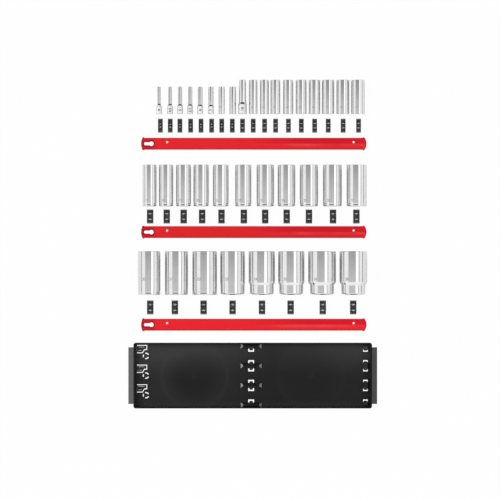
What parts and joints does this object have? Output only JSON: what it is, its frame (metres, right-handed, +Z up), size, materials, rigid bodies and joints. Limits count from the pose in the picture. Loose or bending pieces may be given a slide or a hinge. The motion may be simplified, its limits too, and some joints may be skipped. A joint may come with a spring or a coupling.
{
  "type": "deep socket set",
  "caption": "Deep socket set laid out in rows: chrome sockets, clips whose square posts hold them, the keyhole rails that the clips slide on, and a tray with hooks and latches for the rails.",
  "frame": {"origin": "middle of the whole layout, on the surface that every piece lies on", "axes": "+X along the rails, from the small sockets to the large; +Y from the tray to the back row; +Z up"},
  "size_m": [0.4612, 0.6094, 0.0516],
  "materials": {
    "tray_plastic": "black moulded plastic with a fine grain",
    "clip_plastic": "black moulded plastic, half gloss",
    "red_rail": "red anodised extrusion, satin",
    "spring_steel": "bright spring steel",
    "chrome_steel": "polished chrome plate"
  },
  "bodies": {
    "tray": {"tray": "tray_plastic"},
    "front_latch": {"front_latch": "tray_plastic"},
    "middle_latch": {"middle_latch": "tray_plastic"},
    "back_latch": {"back_latch": "tray_plastic"},
    "front_rail": {"front_rail": "red_rail"},
    "middle_rail": {"middle_rail": "red_rail"},
    "back_rail": {"back_rail": "red_rail"},
    "large_half_inch_leaves": {"large_half_inch_leaves": "spring_steel"},
    "large_half_inch_near_leaves": {"large_half_inch_near_leaves": "spring_steel"},
    "half_inch_leaves": {"half_inch_leaves": "spring_steel"},
    "half_inch_near_leaves": {"half_inch_near_leaves": "spring_steel"},
    "quarter_inch_leaves": {"quarter_inch_leaves": "spring_steel"},
    "quarter_inch_near_leaves": {"quarter_inch_near_leaves": "spring_steel"},
    "three_eighths_leaves": {"three_eighths_leaves": "spring_steel"},
    "three_eighths_near_leaves": {"three_eighths_near_leaves": "spring_steel"},
    "large_half_inch_clips": {"large_half_inch_clips": "clip_plastic"},
    "half_inch_clips": {"half_inch_clips": "clip_plastic"},
    "quarter_inch_clips": {"quarter_inch_clips": "clip_plastic"},
    "three_eighths_clips": {"three_eighths_clips": "clip_plastic"},
    "half_inch_socket_30": {"half_inch_socket_30": "chrome_steel"},
    "half_inch_socket_31": {"half_inch_socket_31": "chrome_steel"},
    "half_inch_socket_32": {"half_inch_socket_32": "chrome_steel"},
    "half_inch_socket_33": {"half_inch_socket_33": "chrome_steel"},
    "half_inch_socket_34": {"half_inch_socket_34": "chrome_steel"},
    "half_inch_socket_35": {"half_inch_socket_35": "chrome_steel"},
    "half_inch_socket_36": {"half_inch_socket_36": "chrome_steel"},
    "half_inch_socket_38": {"half_inch_socket_38": "chrome_steel"},
    "half_inch_socket_17": {"half_inch_socket_17": "chrome_steel"},
    "half_inch_socket_18": {"half_inch_socket_18": "chrome_steel"},
    "half_inch_socket_19": {"half_inch_socket_19": "chrome_steel"},
    "half_inch_socket_20": {"half_inch_socket_20": "chrome_steel"},
    "half_inch_socket_21": {"half_inch_socket_21": "chrome_steel"},
    "half_inch_socket_22": {"half_inch_socket_22": "chrome_steel"},
    "half_inch_socket_23": {"half_inch_socket_23": "chrome_steel"},
    "half_inch_socket_24": {"half_inch_socket_24": "chrome_steel"},
    "half_inch_socket_25": {"half_inch_socket_25": "chrome_steel"},
    "half_inch_socket_26": {"half_inch_socket_26": "chrome_steel"},
    "half_inch_socket_27": {"half_inch_socket_27": "chrome_steel"},
    "quarter_inch_socket_4": {"quarter_inch_socket_4": "chrome_steel"},
    "quarter_inch_socket_4_5": {"quarter_inch_socket_4_5": "chrome_steel"},
    "quarter_inch_socket_5": {"quarter_inch_socket_5": "chrome_steel"},
    "quarter_inch_socket_5_5": {"quarter_inch_socket_5_5": "chrome_steel"},
    "quarter_inch_socket_6": {"quarter_inch_socket_6": "chrome_steel"},
    "quarter_inch_socket_7": {"quarter_inch_socket_7": "chrome_steel"},
    "quarter_inch_socket_8": {"quarter_inch_socket_8": "chrome_steel"},
    "quarter_inch_socket_9": {"quarter_inch_socket_9": "chrome_steel"},
    "three_eighths_socket_10": {"three_eighths_socket_10": "chrome_steel"},
    "three_eighths_socket_11": {"three_eighths_socket_11": "chrome_steel"},
    "three_eighths_socket_12": {"three_eighths_socket_12": "chrome_steel"},
    "three_eighths_socket_13": {"three_eighths_socket_13": "chrome_steel"},
    "three_eighths_socket_14": {"three_eighths_socket_14": "chrome_steel"},
    "three_eighths_socket_15": {"three_eighths_socket_15": "chrome_steel"},
    "three_eighths_socket_16": {"three_eighths_socket_16": "chrome_steel"},
    "three_eighths_socket_17": {"three_eighths_socket_17": "chrome_steel"},
    "three_eighths_socket_18": {"three_eighths_socket_18": "chrome_steel"},
    "three_eighths_socket_19": {"three_eighths_socket_19": "chrome_steel"}
  },
  "joints": [
    {"name": "front_latch_flex", "type": "hinge", "parent": "tray", "child": "front_latch", "pos_m": [-0.2143, -0.2676, 0.00445], "axis": [0, 1, 0], "range_deg": [0, 8], "stiffness_Nm_per_rad": 0.6},
    {"name": "middle_latch_flex", "type": "hinge", "parent": "tray", "child": "middle_latch", "pos_m": [-0.2143, -0.23115, 0.00445], "axis": [0, 1, 0], "range_deg": [0, 8], "stiffness_Nm_per_rad": 0.6},
    {"name": "back_latch_flex", "type": "hinge", "parent": "tray", "child": "back_latch", "pos_m": [-0.2143, -0.1947, 0.00445], "axis": [0, 1, 0], "range_deg": [0, 8], "stiffness_Nm_per_rad": 0.6},
    {"name": "front_rail_lift", "type": "slide", "parent": "tray", "child": "front_rail", "axis": [0, 0, 1], "range_m": [0, 0.03]},
    {"name": "middle_rail_lift", "type": "slide", "parent": "tray", "child": "middle_rail", "axis": [0, 0, 1], "range_m": [0, 0.03]},
    {"name": "back_rail_lift", "type": "slide", "parent": "tray", "child": "back_rail", "axis": [0, 0, 1], "range_m": [0, 0.03]},
    {"name": "large_half_inch_leaves_press", "type": "slide", "parent": "large_half_inch_clips", "child": "large_half_inch_leaves", "axis": [0, -1, 0], "range_m": [0, 0.0006], "stiffness_N_per_m": 1500},
    {"name": "large_half_inch_near_leaves_press", "type": "slide", "parent": "large_half_inch_clips", "child": "large_half_inch_near_leaves", "axis": [0, 1, 0], "range_m": [0, 0.0006], "stiffness_N_per_m": 1500},
    {"name": "half_inch_leaves_press", "type": "slide", "parent": "half_inch_clips", "child": "half_inch_leaves", "axis": [0, -1, 0], "range_m": [0, 0.0006], "stiffness_N_per_m": 1500},
    {"name": "half_inch_near_leaves_press", "type": "slide", "parent": "half_inch_clips", "child": "half_inch_near_leaves", "axis": [0, 1, 0], "range_m": [0, 0.0006], "stiffness_N_per_m": 1500},
    {"name": "quarter_inch_leaves_press", "type": "slide", "parent": "quarter_inch_clips", "child": "quarter_inch_leaves", "axis": [0, -1, 0], "range_m": [0, 0.0006], "stiffness_N_per_m": 1500},
    {"name": "quarter_inch_near_leaves_press", "type": "slide", "parent": "quarter_inch_clips", "child": "quarter_inch_near_leaves", "axis": [0, 1, 0], "range_m": [0, 0.0006], "stiffness_N_per_m": 1500},
    {"name": "three_eighths_leaves_press", "type": "slide", "parent": "three_eighths_clips", "child": "three_eighths_leaves", "axis": [0, -1, 0], "range_m": [0, 0.0006], "stiffness_N_per_m": 1500},
    {"name": "three_eighths_near_leaves_press", "type": "slide", "parent": "three_eighths_clips", "child": "three_eighths_near_leaves", "axis": [0, 1, 0], "range_m": [0, 0.0006], "stiffness_N_per_m": 1500},
    {"name": "large_half_inch_clips_lift", "type": "slide", "parent": "tray", "child": "large_half_inch_clips", "axis": [0, 0, 1], "range_m": [0, 0.03]},
    {"name": "half_inch_clips_lift", "type": "slide", "parent": "tray", "child": "half_inch_clips", "axis": [0, 0, 1], "range_m": [0, 0.03]},
    {"name": "quarter_inch_clips_lift", "type": "slide", "parent": "tray", "child": "quarter_inch_clips", "axis": [0, 0, 1], "range_m": [0, 0.03]},
    {"name": "three_eighths_clips_lift", "type": "slide", "parent": "tray", "child": "three_eighths_clips", "axis": [0, 0, 1], "range_m": [0, 0.03]},
    {"name": "half_inch_socket_30_lift", "type": "slide", "parent": "tray", "child": "half_inch_socket_30", "axis": [0, 0, 1], "range_m": [0, 0.06]},
    {"name": "half_inch_socket_31_lift", "type": "slide", "parent": "tray", "child": "half_inch_socket_31", "axis": [0, 0, 1], "range_m": [0, 0.06]},
    {"name": "half_inch_socket_32_lift", "type": "slide", "parent": "tray", "child": "half_inch_socket_32", "axis": [0, 0, 1], "range_m": [0, 0.06]},
    {"name": "half_inch_socket_33_lift", "type": "slide", "parent": "tray", "child": "half_inch_socket_33", "axis": [0, 0, 1], "range_m": [0, 0.06]},
    {"name": "half_inch_socket_34_lift", "type": "slide", "parent": "tray", "child": "half_inch_socket_34", "axis": [0, 0, 1], "range_m": [0, 0.06]},
    {"name": "half_inch_socket_35_lift", "type": "slide", "parent": "tray", "child": "half_inch_socket_35", "axis": [0, 0, 1], "range_m": [0, 0.06]},
    {"name": "half_inch_socket_36_lift", "type": "slide", "parent": "tray", "child": "half_inch_socket_36", "axis": [0, 0, 1], "range_m": [0, 0.06]},
    {"name": "half_inch_socket_38_lift", "type": "slide", "parent": "tray", "child": "half_inch_socket_38", "axis": [0, 0, 1], "range_m": [0, 0.06]},
    {"name": "half_inch_socket_17_lift", "type": "slide", "parent": "tray", "child": "half_inch_socket_17", "axis": [0, 0, 1], "range_m": [0, 0.06]},
    {"name": "half_inch_socket_18_lift", "type": "slide", "parent": "tray", "child": "half_inch_socket_18", "axis": [0, 0, 1], "range_m": [0, 0.06]},
    {"name": "half_inch_socket_19_lift", "type": "slide", "parent": "tray", "child": "half_inch_socket_19", "axis": [0, 0, 1], "range_m": [0, 0.06]},
    {"name": "half_inch_socket_20_lift", "type": "slide", "parent": "tray", "child": "half_inch_socket_20", "axis": [0, 0, 1], "range_m": [0, 0.06]},
    {"name": "half_inch_socket_21_lift", "type": "slide", "parent": "tray", "child": "half_inch_socket_21", "axis": [0, 0, 1], "range_m": [0, 0.06]},
    {"name": "half_inch_socket_22_lift", "type": "slide", "parent": "tray", "child": "half_inch_socket_22", "axis": [0, 0, 1], "range_m": [0, 0.06]},
    {"name": "half_inch_socket_23_lift", "type": "slide", "parent": "tray", "child": "half_inch_socket_23", "axis": [0, 0, 1], "range_m": [0, 0.06]},
    {"name": "half_inch_socket_24_lift", "type": "slide", "parent": "tray", "child": "half_inch_socket_24", "axis": [0, 0, 1], "range_m": [0, 0.06]},
    {"name": "half_inch_socket_25_lift", "type": "slide", "parent": "tray", "child": "half_inch_socket_25", "axis": [0, 0, 1], "range_m": [0, 0.06]},
    {"name": "half_inch_socket_26_lift", "type": "slide", "parent": "tray", "child": "half_inch_socket_26", "axis": [0, 0, 1], "range_m": [0, 0.06]},
    {"name": "half_inch_socket_27_lift", "type": "slide", "parent": "tray", "child": "half_inch_socket_27", "axis": [0, 0, 1], "range_m": [0, 0.06]},
    {"name": "quarter_inch_socket_4_lift", "type": "slide", "parent": "tray", "child": "quarter_inch_socket_4", "axis": [0, 0, 1], "range_m": [0, 0.06]},
    {"name": "quarter_inch_socket_4_5_lift", "type": "slide", "parent": "tray", "child": "quarter_inch_socket_4_5", "axis": [0, 0, 1], "range_m": [0, 0.06]},
    {"name": "quarter_inch_socket_5_lift", "type": "slide", "parent": "tray", "child": "quarter_inch_socket_5", "axis": [0, 0, 1], "range_m": [0, 0.06]},
    {"name": "quarter_inch_socket_5_5_lift", "type": "slide", "parent": "tray", "child": "quarter_inch_socket_5_5", "axis": [0, 0, 1], "range_m": [0, 0.06]},
    {"name": "quarter_inch_socket_6_lift", "type": "slide", "parent": "tray", "child": "quarter_inch_socket_6", "axis": [0, 0, 1], "range_m": [0, 0.06]},
    {"name": "quarter_inch_socket_7_lift", "type": "slide", "parent": "tray", "child": "quarter_inch_socket_7", "axis": [0, 0, 1], "range_m": [0, 0.06]},
    {"name": "quarter_inch_socket_8_lift", "type": "slide", "parent": "tray", "child": "quarter_inch_socket_8", "axis": [0, 0, 1], "range_m": [0, 0.06]},
    {"name": "quarter_inch_socket_9_lift", "type": "slide", "parent": "tray", "child": "quarter_inch_socket_9", "axis": [0, 0, 1], "range_m": [0, 0.06]},
    {"name": "three_eighths_socket_10_lift", "type": "slide", "parent": "tray", "child": "three_eighths_socket_10", "axis": [0, 0, 1], "range_m": [0, 0.06]},
    {"name": "three_eighths_socket_11_lift", "type": "slide", "parent": "tray", "child": "three_eighths_socket_11", "axis": [0, 0, 1], "range_m": [0, 0.06]},
    {"name": "three_eighths_socket_12_lift", "type": "slide", "parent": "tray", "child": "three_eighths_socket_12", "axis": [0, 0, 1], "range_m": [0, 0.06]},
    {"name": "three_eighths_socket_13_lift", "type": "slide", "parent": "tray", "child": "three_eighths_socket_13", "axis": [0, 0, 1], "range_m": [0, 0.06]},
    {"name": "three_eighths_socket_14_lift", "type": "slide", "parent": "tray", "child": "three_eighths_socket_14", "axis": [0, 0, 1], "range_m": [0, 0.06]},
    {"name": "three_eighths_socket_15_lift", "type": "slide", "parent": "tray", "child": "three_eighths_socket_15", "axis": [0, 0, 1], "range_m": [0, 0.06]},
    {"name": "three_eighths_socket_16_lift", "type": "slide", "parent": "tray", "child": "three_eighths_socket_16", "axis": [0, 0, 1], "range_m": [0, 0.06]},
    {"name": "three_eighths_socket_17_lift", "type": "slide", "parent": "tray", "child": "three_eighths_socket_17", "axis": [0, 0, 1], "range_m": [0, 0.06]},
    {"name": "three_eighths_socket_18_lift", "type": "slide", "parent": "tray", "child": "three_eighths_socket_18", "axis": [0, 0, 1], "range_m": [0, 0.06]},
    {"name": "three_eighths_socket_19_lift", "type": "slide", "parent": "tray", "child": "three_eighths_socket_19", "axis": [0, 0, 1], "range_m": [0, 0.06]}
  ]
}
